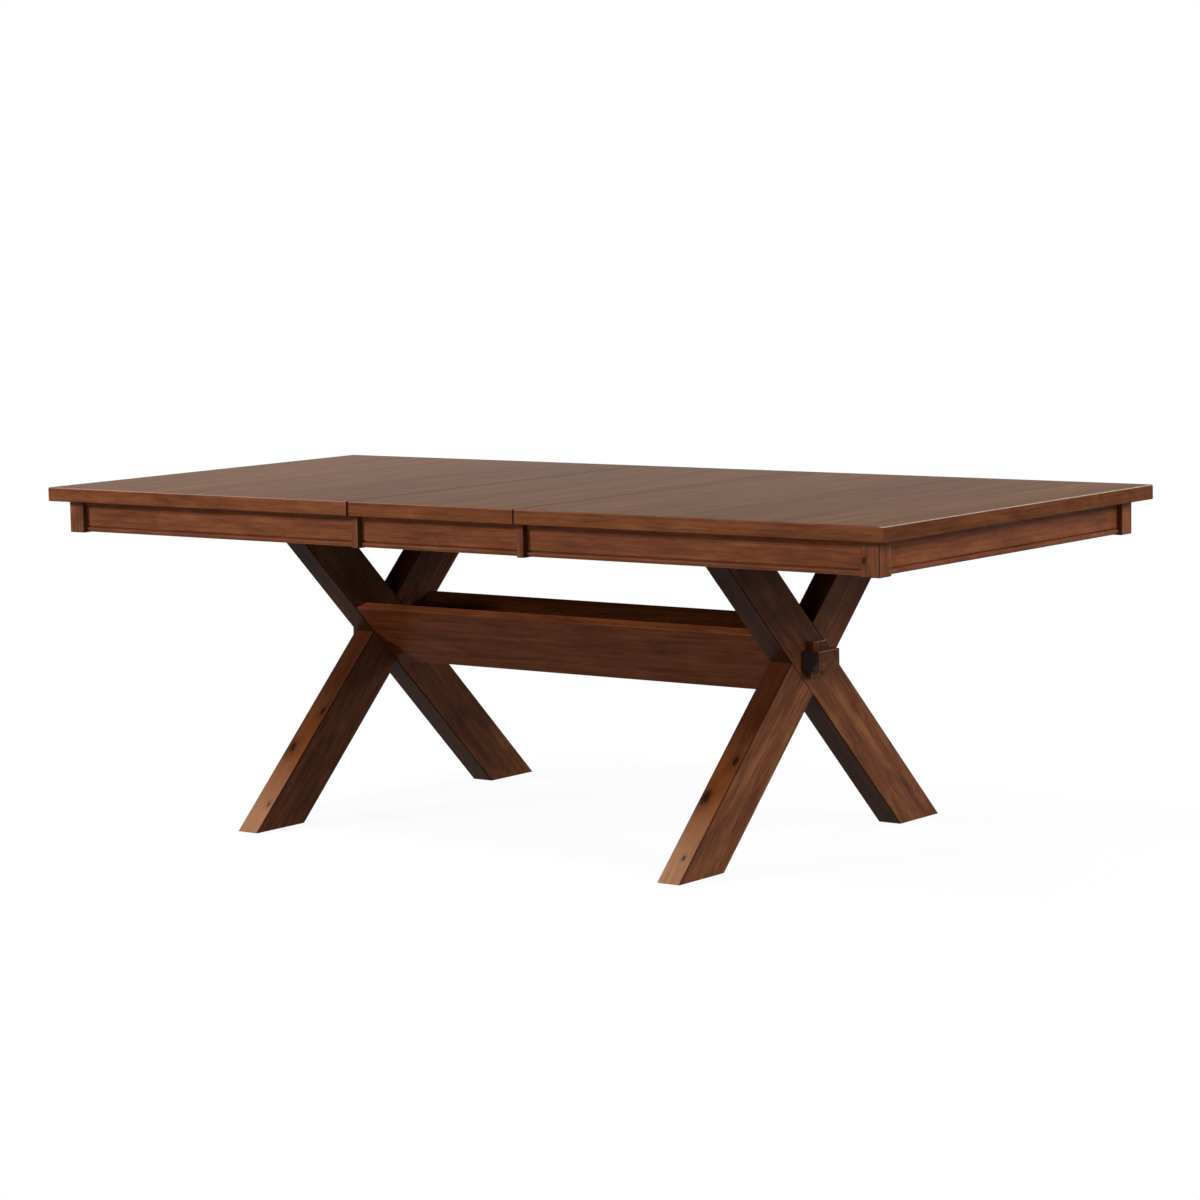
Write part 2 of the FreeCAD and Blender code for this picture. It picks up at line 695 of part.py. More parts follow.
def half_screw_spots(side):
    rails, battens = seam_screws_x(side)
    shift = "rail_inner + rail_thickness / 2"
    spots = [(x, unit + " * slide_y + " + side + " * (" + shift + ")") for unit in ("-1", "1") for x in rails]
    return spots, [(x, "0") for x in battens]


def at_seam(edge, seam):
    """Tell whether an edge lies in the seam face and is not its bottom edge."""
    small = value("seam_gap") / 2
    in_face = all(abs(corner.X - seam) < small for corner in edge.Vertexes)
    return in_face and edge.CenterOfMass.z - value("under_top") > small


def half_top(name, side):
    body = new_body(name)
    flat = box_outline(side + " * inner_end", side + " * table_length / 2",
                       "-1 * table_width / 2", "table_width / 2")
    pad(body, new_sketch(body, name + "_plan", "XY_Plane", [flat], offset="under_top"), "top_thickness")
    seam = value(side + " * inner_end")
    end = value(side + " * table_length / 2")
    wide = value("table_width / 2")
    small = value("seam_gap") / 2

    def outer(edge):
        middle = edge.CenterOfMass
        if runs_along(edge, along_z):
            return abs(middle.x - end) < small
        on_long_edge = abs(abs(middle.y) - wide) < small and abs(middle.x - seam) > small
        return abs(middle.x - end) < small or on_long_edge

    ease(body, "Fillet", "top_round", outer)
    ease(body, "Chamfer", "seam_ease", lambda edge: at_seam(edge, seam))
    holes = [(sign + " * " + y, "pin_height", "pin_radius + pin_clearance")
             for y in ("left_pin_y", "right_pin_y") for sign in ("-1", "1")]
    cut(body, new_sketch(body, name + "_pin_holes", "YZ_Plane", circles=holes, offset=side + " * inner_end"),
        "pin_seat", back=(side == "1"))
    spots = half_screw_spots(side)
    pilots = [(x, y, "screw_radius + screw_clearance") for x, y in spots[0] + spots[1]]
    cut(body, new_sketch(body, name + "_pilots", "XY_Plane", circles=pilots, offset="under_top"),
        "screw_bite + screw_tip_gap", back=True)
    place(body)
    return keep(body)


half_top("top_left", "-1")
half_top("top_right", "1")

# The leaf. Its pin sockets are slots open to the underside, so the leaf lifts straight out.
leaf = new_body("top_leaf")
plan = box_outline("-1 * (leaf_end)", "leaf_end", "-1 * table_width / 2", "table_width / 2")
pad(leaf, new_sketch(leaf, "leaf_plan", "XY_Plane", [plan], offset="under_top"), "top_thickness")
leaf_wide = value("table_width / 2")
leaf_small = value("seam_gap") / 2
ease(leaf, "Fillet", "top_round",
     lambda edge: runs_along(edge, along_x) and abs(abs(edge.CenterOfMass.y) - leaf_wide) < leaf_small)
leaf_seam = value("leaf_end")
ease(leaf, "Chamfer", "seam_ease", lambda edge: at_seam(edge, leaf_seam) or at_seam(edge, -leaf_seam))
for seam_side, pin_y, slot_name in (("-1", "left_pin_y", "left"), ("1", "right_pin_y", "right")):
    slots = [box_outline(sign + " * " + pin_y + " - pin_radius - pin_clearance",
                         sign + " * " + pin_y + " + pin_radius + pin_clearance",
                         "under_top - overrun", "pin_height + pin_radius + pin_clearance")
             for sign in ("-1", "1")]
    seam_plane = seam_side + " * (leaf_end)"
    cut(leaf, new_sketch(leaf, "leaf_slots_" + slot_name, "YZ_Plane", slots, offset=seam_plane),
        "pin_reach + pin_clearance", back=(seam_side == "-1"))
leaf_spots = [(sign + " * (leaf_batten_half - batten_screw_end)", "0") for sign in ("-1", "1")]
cut(leaf, new_sketch(leaf, "leaf_pilots", "XY_Plane", offset="under_top",
                     circles=[(x, y, "screw_radius + screw_clearance") for x, y in leaf_spots]),
    "screw_bite + screw_tip_gap", back=True)
place(leaf)
keep(leaf)


# Alignment pins in the seam faces of the two halves; the two sets stand at different places across the
# table, so each set finds a socket in the other half when the leaf is out.
def seam_pins(name, side, pin_y):
    body = new_body(name)
    spots = [(sign + " * " + pin_y, "pin_height", "pin_radius") for sign in ("-1", "1")]
    start = side + " * (inner_end + pin_seat)"
    pad(body, new_sketch(body, name + "_rounds", "YZ_Plane", circles=spots, offset=start),
        "pin_seat + pin_reach + seam_gap - pin_clearance", back=(side == "1"))
    place(body)
    return keep(body)


seam_pins("pins_left", "-1", "left_pin_y")
seam_pins("pins_right", "1", "right_pin_y")


# Apron panels: one moulded profile, a recessed face with a quirk and a bead above the bottom edge.
# The profile is drawn with the face towards -Y and the top at the underside of the table top.
def apron(name, length, x, y, turn):
    body = new_body(name)
    quirk_top = "-1 * (apron_height - bead_foot - bead_height - quirk_height)"
    bead_top = "-1 * (apron_height - bead_foot - bead_height)"
    bead_low = "-1 * (apron_height - bead_foot)"
    curve = "(bead_height ^ 2 / 4 + bead_depth ^ 2) / (2 * bead_depth)"
    outline = [("0", "0"), ("0", quirk_top), ("quirk_depth", bead_top), ("0", bead_top, curve),
               ("0", bead_low), ("0", "-1 * apron_height"), ("apron_thickness", "-1 * apron_height"),
               ("apron_thickness", "0")]
    pad(body, new_sketch(body, name + "_profile", "YZ_Plane", [outline]), length, both_ways=True)
    place(body, x=x, y=y, z="under_top", turn=turn)
    return keep(body)


half_left = "(post_inner_x - inner_end - stile_width)"
half_right = "(post_inner_x - inner_end)"
leaf_run = "(2 * leaf_end - stile_width)"
for row, turn, sign in (("front", 0, "-1"), ("rear", 180, "1")):
    face = sign + " * panel_face_y"
    left_middle = "-1 * (post_inner_x + inner_end + stile_width) / 2"
    apron("apron_" + row + "_left", half_left, left_middle, face, turn)
    apron("apron_" + row + "_leaf", leaf_run, "-1 * stile_width / 2", face, turn)
    apron("apron_" + row + "_right", half_right, "(post_inner_x + inner_end) / 2", face, turn)
apron("apron_end_left", "2 * post_inner_y", "-1 * panel_face_x", "0", 270)
apron("apron_end_right", "2 * post_inner_y", "panel_face_x", "0", 90)


# Upright pieces of the apron: square posts at the corners and narrow stiles at the seams.
def upright(name, x0, x1, y0, y1, height):
    body = new_body(name)
    plan = box_outline(x0, x1, y0, y1)
    pad(body, new_sketch(body, name + "_plan", "XY_Plane", [plan], offset="under_top"), height, back=True)
    top = value("under_top")
    ease(body, "Chamfer", "edge_ease", lambda edge: abs(edge.CenterOfMass.z - top) > value("edge_ease"))
    place(body)
    return keep(body)


for row, sign in (("front", "-1"), ("rear", "1")):
    outer_y = sign + " * post_face_y"
    inner_y = sign + " * post_inner_y"
    back_y = sign + " * panel_back_y"
    upright("post_" + row + "_left", "-1 * post_face_x", "-1 * post_inner_x", outer_y, inner_y, "post_height")
    upright("post_" + row + "_right", "post_face_x", "post_inner_x", outer_y, inner_y, "post_height")
    upright("stile_" + row + "_left", "-1 * (inner_end + stile_width)", "-1 * inner_end", outer_y, back_y,
            "stile_height")
    upright("stile_" + row + "_leaf", "leaf_end - stile_width", "leaf_end", outer_y, back_y, "stile_height")


# Corner blocks behind the posts tie the end panel to the side panel and to the top.
def corner_block(name, side, row):
    body = new_body(name)
    x_post = side + " * (post_inner_x - block_gap)"
    y_post = row + " * (post_inner_y - block_gap)"
    outline = [(x_post, row + " * panel_back_y"),
               (side + " * (post_inner_x - block_gap - block_leg)", row + " * panel_back_y"),
               (side + " * panel_back_x", row + " * (post_inner_y - block_gap - block_leg)"),
               (side + " * panel_back_x", y_post), (x_post, y_post)]
    pad(body, new_sketch(body, name + "_plan", "XY_Plane", [outline], offset="under_top"), "block_height",
        back=True)
    place(body)
    return keep(body)


for row, sign in (("front", "-1"), ("rear", "1")):
    corner_block("corner_block_" + row + "_left", "-1", sign)
    corner_block("corner_block_" + row + "_right", "1", sign)


# Battens across the grain under the middle of each panel.
def batten(name, x0, x1, spots):
    body = new_body(name)
    plan = box_outline(x0, x1, "-1 * batten_width / 2", "batten_width / 2")
    pad(body, new_sketch(body, name + "_plan", "XY_Plane", [plan], offset="under_top"), "batten_height",
        back=True)
    holes = [(x, y, "screw_radius") for x, y in spots]
    batten_bottom = "under_top - batten_height"
    drill(body, new_sketch(body, name + "_holes", "XY_Plane", circles=holes, offset=batten_bottom),
          "screw_radius + screw_clearance", "screw_head_radius + screw_clearance", "batten_counterbore",
          back=True)
    place(body)
    return keep(body)


batten("batten_left", "-1 * batten_stop", "-1 * batten_start", half_screw_spots("-1")[1])
batten("batten_right", "batten_start", "batten_stop", half_screw_spots("1")[1])
batten("batten_leaf", "-1 * leaf_batten_half", "leaf_batten_half", leaf_spots)

# Screws that hold the rails and battens to the panels, seated at the bottom of their counterbores.
rail_seat = "rail_bottom + rail_counterbore - screw_head_height"
rail_shank = "under_top - rail_bottom - rail_counterbore + screw_bite"
batten_seat = "under_top - batten_height + batten_counterbore - screw_head_height"
batten_shank = "batten_height - batten_counterbore + screw_bite"
for part_name, side in (("left", "-1"), ("right", "1")):
    rails_at, battens_at = half_screw_spots(side)
    screw_group("rail_screws_" + part_name, rails_at, rail_seat, rail_shank, True)
    screw_group("batten_screws_" + part_name, battens_at, batten_seat, batten_shank, True)
screw_group("batten_screws_leaf", leaf_spots, batten_seat, batten_shank, True)

doc.recompute()
faults = [thing.Name for thing in doc.Objects if "Invalid" in thing.State or "Error" in thing.State]
for node in nodes:
    if node.Shape.isNull() or not node.Shape.isValid():
        faults.append(node.Label)
if faults:
    raise RuntimeError("faulty objects: " + ", ".join(faults))
for node in nodes:
    node.Shape.exportStep("parts/" + node.Label + ".step")
print(len(nodes), "nodes written")
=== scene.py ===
import math

import bpy
from mathutils import Matrix, Vector


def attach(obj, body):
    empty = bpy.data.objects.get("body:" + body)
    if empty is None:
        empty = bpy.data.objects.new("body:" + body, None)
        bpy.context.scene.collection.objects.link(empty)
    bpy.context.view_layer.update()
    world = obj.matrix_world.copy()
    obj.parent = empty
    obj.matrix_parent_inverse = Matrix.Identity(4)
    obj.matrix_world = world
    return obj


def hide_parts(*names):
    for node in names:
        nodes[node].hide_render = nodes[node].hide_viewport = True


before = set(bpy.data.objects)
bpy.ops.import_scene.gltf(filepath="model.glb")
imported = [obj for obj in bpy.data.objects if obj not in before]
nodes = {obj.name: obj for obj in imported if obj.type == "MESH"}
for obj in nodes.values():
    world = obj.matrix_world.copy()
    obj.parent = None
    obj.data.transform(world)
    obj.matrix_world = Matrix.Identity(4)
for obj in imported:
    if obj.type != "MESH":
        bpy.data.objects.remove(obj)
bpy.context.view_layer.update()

# Legs of the two X frames: solid planks of a streaky hardwood, halved into each other at the crossing.
# Dark red-brown stain under satin lacquer, grain along each leg. Painted shade darkens the faces that look
# down, the upper legs and the upward edges at the crossing; those edges turn amber lower down and carry a
# painted highlight at the feet that also stands for rubbed wear; the two towards the front have a few knots.
leg_run_per_rise = 1.02135
leg_slope = math.atan2(1.0, leg_run_per_rise)
leg_tones = ((0.062, 0.0215, 0.0115), (0.132, 0.045, 0.0195), (0.215, 0.084, 0.0360))
# Painted shade: the faces that look up, and their edges above the crossing, are darkened as if in the top's
# shadow.
leg_edge_shade = (0.045, 0.0110, 0.0035)
# Painted shade on the faces that look down.
leg_underside_shade = (0.015, 0.0035, 0.0010)
# Painted light: the upward edges turn amber where they come out of the top's shadow.
leg_half_lit_amber = (0.205, 0.0540, 0.0085)
# Painted highlight at the feet, which also stands for rubbed wear.
foot_highlight_and_scuff = (0.250, 0.117, 0.056)
# The darkest leg colour: thin dark lines on the eased arrises, and painted shade on the upper parts of the
# legs.
leg_dark_line_and_shade = (0.016, 0.0070, 0.0042)
leg_gloss = 0.024
satin = (0.36, 0.46)
knot_halo = (0.050, 0.0135, 0.0050)
knot_heart = (0.012, 0.0050, 0.0030)
# Heights above the floor between which each tint of a leg fades in or out, and how ragged the fading is.
foot_lit_and_rubbed_heights = (0.10, 0.23)
half_lit_heights = (0.24, 0.34)
edge_shade_heights = (0.30, 0.37)
top_shade_heights = (0.44, 0.60)
ragged_by = 0.12
# Middle and radius of each knot.
leg_knots = {
    "leg_right_b": (((0.597, -0.271, 0.224), 0.0075),
                    ((0.570, -0.339, 0.158), 0.0105),
                    ((0.591, -0.450, 0.049), 0.0028)),
    "leg_left_b": (((-0.570, -0.249, 0.246), 0.0060),
                   ((-0.596, -0.325, 0.171), 0.0085),
                   ((-0.570, -0.440, 0.059), 0.0030)),
}


def add_node(tree, kind, **settings):
    """A new node of a kind, with its settings."""
    made = tree.nodes.new(kind)
    for name, setting in settings.items():
        setattr(made, name, setting)
    return made


def span(tree, source, low, high, to_low, to_high):
    """Carry a reading from one range over to another, held at its ends."""
    made = add_node(tree, "ShaderNodeMapRange", clamp=True)
    for socket, number in zip((1, 2, 3, 4), (low, high, to_low, to_high)):
        made.inputs[socket].default_value = number
    tree.links.new(source, made.inputs[0])
    return made.outputs[0]


def together(tree, way, first, second):
    """One number from two, by the named sum."""
    made = add_node(tree, "ShaderNodeMath", operation=way)
    for socket, source in enumerate((first, second)):
        if isinstance(source, (int, float)):
            made.inputs[socket].default_value = source
        else:
            tree.links.new(source, made.inputs[socket])
    return made.outputs[0]


def absolute(tree, source):
    return together(tree, "ABSOLUTE", source, 0.0)


def weighted_sum(tree, parts):
    total = 0.0
    for source, weight in parts:
        total = together(tree, "ADD", together(tree, "MULTIPLY", source, weight), total)
    return total


def parted(tree, source):
    """The X, Y and Z of a place or a direction."""
    made = add_node(tree, "ShaderNodeSeparateXYZ")
    tree.links.new(source, made.inputs[0])
    return made.outputs


def mixed_colour(tree, amount, first, second):
    """Blend two colours, each given as a tuple or as a socket."""
    made = add_node(tree, "ShaderNodeMix", data_type="RGBA")
    tree.links.new(amount, made.inputs["Factor"])
    for socket, colour in ((6, first), (7, second)):
        if isinstance(colour, tuple):
            made.inputs[socket].default_value = (*colour, 1.0)
        else:
            tree.links.new(colour, made.inputs[socket])
    return made.outputs[2]


def stain_ramp(tree, source, stops):
    """A colour for each reading, from stops that each have a place and a colour."""
    made = add_node(tree, "ShaderNodeValToRGB")
    line = made.color_ramp
    for end, (place, colour) in ((0, stops[0]), (1, stops[-1])):
        line.elements[end].position = place
        line.elements[end].color = (*colour, 1.0)
    for place, colour in stops[1:-1]:
        line.elements.new(place).color = (*colour, 1.0)
    tree.links.new(source, made.inputs[0])
    return made.outputs[0]


def along_grain(tree, place, along, shift):
    """Coordinates whose X runs along the grain; shift moves the board within its log."""
    x = Vector(along).normalized()
    helper = Vector((0, 0, 1)) if abs(x.z) < 0.9 else Vector((0, 1, 0))
    y = helper.cross(x).normalized()
    made = add_node(tree, "ShaderNodeMapping")
    made.inputs["Location"].default_value = shift
    made.inputs["Rotation"].default_value = Matrix((x, y, x.cross(y))).to_euler()
    tree.links.new(place.outputs["Object"], made.inputs["Vector"])
    return made.outputs[0]


def drawn_out(tree, coords, along, across):
    """Grain coordinates scaled by one number along the grain and by another across it."""
    made = add_node(tree, "ShaderNodeVectorMath", operation="MULTIPLY")
    made.inputs[1].default_value = (along, across, across)
    tree.links.new(coords, made.inputs[0])
    return made.outputs[0]


def streaks_of(tree, coords, along, across, detail, waver=0.0):
    """Noise drawn out along the grain, with so many repeats in a metre along and across it."""
    noise = add_node(tree, "ShaderNodeTexNoise")
    noise.inputs["Scale"].default_value = 1.0
    noise.inputs["Detail"].default_value = detail
    noise.inputs["Roughness"].default_value = 0.6
    noise.inputs["Distortion"].default_value = waver
    tree.links.new(drawn_out(tree, coords, along, across), noise.inputs["Vector"])
    return noise.outputs["Fac"]


def growth_rings(tree, coords, pitch):
    """Sawn growth rings a pitch apart, wavy and much longer than they are wide."""
    scale_for_rings_a_metre_apart = 0.314
    wave = add_node(tree, "ShaderNodeTexWave", wave_type="RINGS", rings_direction="X", wave_profile="SAW")
    wave.inputs["Scale"].default_value = scale_for_rings_a_metre_apart / pitch
    wave.inputs["Distortion"].default_value = 9.0
    wave.inputs["Detail"].default_value = 2.0
    wave.inputs["Detail Scale"].default_value = 0.35
    tree.links.new(drawn_out(tree, coords, along=0.09, across=1.0), wave.inputs["Vector"])
    return wave.outputs["Fac"]


def wood_surface(tree, coords, tones, figure, length=1.0, lightness=None):
    """Stained wood over grain coordinates: its colour, its slow streaks and the height of its open pores.

    A higher figure has more contrast, and a greater length has longer streaks.
    """
    clouds = streaks_of(tree, coords, along=6.5 / length, across=18.0, detail=3.0, waver=1.0)
    drift = streaks_of(tree, coords, along=1.8 / length, across=26.0, detail=2.0, waver=0.8)
    streaks = streaks_of(tree, coords, along=7.0 / length, across=75.0, detail=3.0, waver=0.6)
    threads = streaks_of(tree, coords, along=16.0 / length, across=230.0, detail=3.0, waver=0.3)
    fibres = streaks_of(tree, coords, along=30.0 / length, across=700.0, detail=2.0)
    rings = growth_rings(tree, coords, pitch=0.011 * length)
    tone = weighted_sum(tree, ((clouds, 0.32), (drift, 0.20), (streaks, 0.30), (threads, 0.18),
                               (rings, 0.05), (fibres, 0.11)))
    if lightness is not None:
        tone = together(tree, "ADD", tone, lightness)
    middle_tone = 0.58
    reach = 0.12 / figure
    tone = span(tree, tone, middle_tone - reach, middle_tone + reach, 0.0, 1.0)
    colour = stain_ramp(tree, tone, ((0.0, tones[0]), (0.5, tones[1]), (1.0, tones[2])))
    pores = span(tree, streaks_of(tree, coords, along=42.0, across=900.0, detail=1.0), 0.60, 0.72, 0.0, 0.5)
    pore_colour = tuple(part * 0.5 for part in tones[0])
    colour = mixed_colour(tree, pores, colour, pore_colour)
    height = weighted_sum(tree, ((fibres, 0.5), (pores, -0.9)))
    return colour, streaks, height


def on_arris(tree, reach):
    """One along the sharp edges of a piece and zero on its flats, by how far a rounded normal leans away."""
    rounded = add_node(tree, "ShaderNodeBevel", samples=6)
    rounded.inputs["Radius"].default_value = reach
    flat = add_node(tree, "ShaderNodeNewGeometry")
    lean = add_node(tree, "ShaderNodeVectorMath", operation="DOT_PRODUCT")
    tree.links.new(rounded.outputs[0], lean.inputs[0])
    tree.links.new(flat.outputs["Normal"], lean.inputs[1])
    return span(tree, lean.outputs["Value"], 0.995, 0.82, 0.0, 1.0)


def steepness(tree, place, axis):
    """How squarely a face is turned to one axis of the table, either way round."""
    return absolute(tree, parted(tree, place.outputs["Normal"])[axis])


def turned_to(tree, steep, share=1.0):
    """A share on the faces that are turned to an axis, zero on the others."""
    return span(tree, steep, 0.4, 0.6, 0.0, share)


def not_square_to(tree, steep):
    """Zero on the faces that are turned squarely to an axis, one on the others."""
    return span(tree, steep, 0.85, 0.95, 1.0, 0.0)


def on_chamfer(tree, place, axes):
    """One on the narrow eased faces that are turned squarely to none of the axes, zero on the flats."""
    if len(axes) == 1:
        steep = steepness(tree, place, axes[0])
        return together(tree, "MULTIPLY", span(tree, steep, 0.3, 0.5, 0.0, 1.0), not_square_to(tree, steep))
    squarest = 0.0
    for axis in axes:
        squarest = together(tree, "MAXIMUM", steepness(tree, place, axis), squarest)
    return not_square_to(tree, squarest)


def with_knots(tree, place, coords, colour, knots):
    """Dark knots with a ragged halo that trails off along the grain."""
    ragged = streaks_of(tree, coords, along=25.0, across=110.0, detail=2.0)
    for middle, radius, along in knots:
        offset = add_node(tree, "ShaderNodeVectorMath", operation="SUBTRACT")
        offset.inputs[1].default_value = middle
        tree.links.new(place.outputs["Object"], offset.inputs[0])
        run = add_node(tree, "ShaderNodeVectorMath", operation="DOT_PRODUCT")
        run.inputs[1].default_value = along
        tree.links.new(offset.outputs[0], run.inputs[0])
        distance = add_node(tree, "ShaderNodeVectorMath", operation="LENGTH")
        tree.links.new(offset.outputs[0], distance.inputs[0])
        trail = together(tree, "MULTIPLY", absolute(tree, run.outputs["Value"]), 0.55)
        away = together(tree, "SUBTRACT", distance.outputs["Value"], trail)
        away = together(tree, "ADD", away, together(tree, "MULTIPLY", ragged, radius * 1.4))
        halo = span(tree, away, radius * 1.2, radius * 3.2, 0.6, 0.0)
        colour = mixed_colour(tree, halo, colour, knot_halo)
        heart = span(tree, away, radius * 1.1, radius * 1.7, 0.95, 0.0)
        colour = mixed_colour(tree, heart, colour, knot_heart)
    return colour


def lacquered(shader, tree, colour, streaks, height, gloss, roughness, relief=0.22):
    """Put colour, satin roughness and pore relief on the piece."""
    pore_depth = 0.0006
    shader.inputs["Specular IOR Level"].default_value = gloss
    tree.links.new(colour, shader.inputs["Base Color"])
    smoothest, roughest = roughness
    tree.links.new(span(tree, streaks, 0.3, 0.7, roughest, smoothest), shader.inputs["Roughness"])
    bump = add_node(tree, "ShaderNodeBump")
    bump.inputs["Strength"].default_value = relief
    bump.inputs["Distance"].default_value = pore_depth
    tree.links.new(height, bump.inputs["Height"])
    tree.links.new(bump.outputs[0], shader.inputs["Normal"])


def wood(name, along, shift, tones, gloss, roughness=satin, figure=1.0, painted_light_and_wear=None, flank_shade=None,
         knots=(), arris=None, arris_reach=0.002, chamfers=""):
    """A wood material for one board, cut at its own place in the log."""
    flank_shade_share = 0.85
    chamfer_share = 0.85
    arris_share = 0.7
    made = bpy.data.materials.new(name)
    made.use_nodes = True
    tree = made.node_tree
    place = add_node(tree, "ShaderNodeTexCoord")
    coords = along_grain(tree, place, along, shift)
    colour, streaks, height = wood_surface(tree, coords, tones, figure)
    if painted_light_and_wear is not None:
        colour = painted_light_and_wear(tree, place, colour, streaks)
    if flank_shade is not None:
        # Painted shade on the faces turned to the front and the rear.
        colour = mixed_colour(tree, turned_to(tree, steepness(tree, place, "Y"), flank_shade_share), colour, flank_shade)
    if knots:
        colour = with_knots(tree, place, coords, colour, knots)
    # A thin line on the edges: a painted highlight on some pieces and a dark line on others.
    if chamfers:
        edge_tint_share = together(tree, "MULTIPLY", on_chamfer(tree, place, chamfers), chamfer_share)
        colour = mixed_colour(tree, edge_tint_share, colour, arris)
    elif arris is not None:
        edge_tint_share = together(tree, "MULTIPLY", on_arris(tree, arris_reach), arris_share)
        colour = mixed_colour(tree, edge_tint_share, colour, arris)
    lacquered(tree.nodes["Principled BSDF"], tree, colour, streaks, height, gloss, roughness)
    return made


def leg_painted_light_and_wear(tree, place, colour, streaks):
    """Paint shade on a leg's underside and its top, and grade its upward edge from painted shade at the
    crossing to a painted highlight at the foot that also stands for rubbed wear.
    """
    edge_shade_share = 0.45
    underside_shade_share = 0.85
    half_lit_share = 0.60
    top_shade_share = 0.16
    facing = parted(tree, place.outputs["Normal"])
    spot = parted(tree, place.outputs["Object"])
    looks_down = together(tree, "MULTIPLY", facing["Z"], -1.0)
    # Painted shade on the faces that look up and, stronger, on those that look down.
    colour = mixed_colour(tree, turned_to(tree, facing["Z"], edge_shade_share), colour, leg_edge_shade)
    colour = mixed_colour(tree, turned_to(tree, looks_down, underside_shade_share), colour, leg_underside_shade)
    ragged_height = together(tree, "ADD", spot["Z"], together(tree, "MULTIPLY", streaks, ragged_by))
    streaky = span(tree, streaks, 0.36, 0.64, 0.55, 1.0)
    on_edge = together(tree, "MULTIPLY", turned_to(tree, facing["Z"]), streaky)
    # Upward edges: painted shade above the crossing, amber half light below it and a painted highlight at the
    # feet that also stands for rubbed wear.
    half_lit = span(tree, ragged_height, *half_lit_heights, half_lit_share, 0.0)
    shaded_edge = span(tree, ragged_height, *edge_shade_heights, 0.0, 1.0)
    foot_lit = span(tree, ragged_height, *foot_lit_and_rubbed_heights, 1.0, 0.0)
    for share, tint in ((half_lit, leg_half_lit_amber), (shaded_edge, leg_edge_shade), (foot_lit, foot_highlight_and_scuff)):
        colour = mixed_colour(tree, together(tree, "MULTIPLY", share, on_edge), colour, tint)
    # Painted shade on the upper part of each leg, under the top.
    top_shade = span(tree, spot["Z"], *top_shade_heights, 0.0, top_shade_share)
    return mixed_colour(tree, top_shade, colour, leg_dark_line_and_shade)


def finish_node(name, material):
    """Give a node of the model its one material."""
    slots = nodes[name].data.materials
    slots.clear()
    slots.append(material)


for number, side in enumerate(("left", "right")):
    for lean, letter in ((-1, "a"), (1, "b")):
        name = "leg_" + side + "_" + letter
        direction = (0, lean * math.cos(leg_slope), math.sin(leg_slope))
        shift = (0.37 * number + 0.9 * lean, 0.11 + 0.23 * number, 0.09 + 0.17 * number + 0.41 * lean)
        knots = [(middle, radius, direction) for middle, radius in leg_knots.get(name, ())]
        finish_node(name, wood("stained_" + name, direction, shift, leg_tones, leg_gloss, painted_light_and_wear=leg_painted_light_and_wear,
                               knots=knots, arris=leg_dark_line_and_shade, chamfers="X"))

# Trough stretcher: two sloping planks mitred at the bottom of the V, their ends butted on the frames.
# Same wood and stain as the legs, with straight grain along the planks and arrises painted paler as a
# highlight.
lengthwise = (1, 0, 0)
trough_tones = ((0.070, 0.0180, 0.0062), (0.104, 0.0280, 0.0092), (0.144, 0.0435, 0.0145))
# Painted highlight along the arrises of the planks.
trough_arris_highlight = (0.260, 0.085, 0.030)
trough_gloss = 0.012
for number, row in enumerate(("front", "rear")):
    shift = (0.2 + 1.1 * number, 0.16, 0.31 * number)
    tinted = wood("stained_trough_" + row, lengthwise, shift, trough_tones, trough_gloss, figure=1.15,
                   arris=trough_arris_highlight)
    finish_node("trough_plank_" + row, tinted)

# Tenon blocks and wedges: the tenon comes through the crossing of each frame and a tapered wedge locks it.
# Same wood as the legs, with the tenon's grain along the table and the wedge's grain standing;
# the front and rear faces of these small pieces are painted darker as shade, and their arrises are drawn as
# thin dark lines.
standing = (0, 0, 1)
tenon_tones = ((0.043, 0.0155, 0.0090), (0.091, 0.0328, 0.0156), (0.147, 0.0580, 0.0268))
wedge_tones = ((0.056, 0.0180, 0.0068), (0.126, 0.0450, 0.0175), (0.215, 0.0880, 0.0370))
# Painted shade on the front and rear faces of the tenons and wedges.
tenon_flank_shade = (0.030, 0.0230, 0.0260)
wedge_flank_shade = (0.062, 0.0190, 0.0080)
small_arris = 0.0015
for number, side in enumerate(("left", "right")):
    finish_node("tenon_block_" + side, wood("stained_tenon_" + side, lengthwise, (0.5 * number, 0.12, 0.3),
                                            tenon_tones, leg_gloss, flank_shade=tenon_flank_shade, arris=leg_dark_line_and_shade,
                                            arris_reach=small_arris))
    finish_node("wedge_key_" + side, wood("stained_wedge_" + side, standing, (0.1, 0.17 * number, 0.4),
                                          wedge_tones, leg_gloss, flank_shade=wedge_flank_shade, arris=leg_dark_line_and_shade,
                                          arris_reach=small_arris))

# Head beams, slide runners and moving rails: plain hardwood that stays out of sight under the top.
# Pale straight grain, planed and only sealed, so it stays lighter and rougher than the stained pieces.
crosswise = (0, 1, 0)
sealed_tones = ((0.20, 0.115, 0.055), (0.31, 0.195, 0.102), (0.41, 0.28, 0.16))
sealed_gloss = 0.3
planed = (0.48, 0.6)


def seal(name, along, shift):
    """Give a node of the model the pale sealed wood."""
    sealed = wood("sealed_" + name, along, shift, sealed_tones, sealed_gloss, roughness=planed, figure=0.8)
    finish_node(name, sealed)


for number, name in enumerate(("runner_front", "runner_rear", "rail_left_front", "rail_left_rear",
                               "rail_right_front", "rail_right_rear")):
    seal(name, lengthwise, (0.7 * number, 0.1 + 0.3 * number, 0.2))
for number, side in enumerate(("left", "right")):
    seal("head_beam_" + side, crosswise, (0.4 * number, 0.9, 0.1))

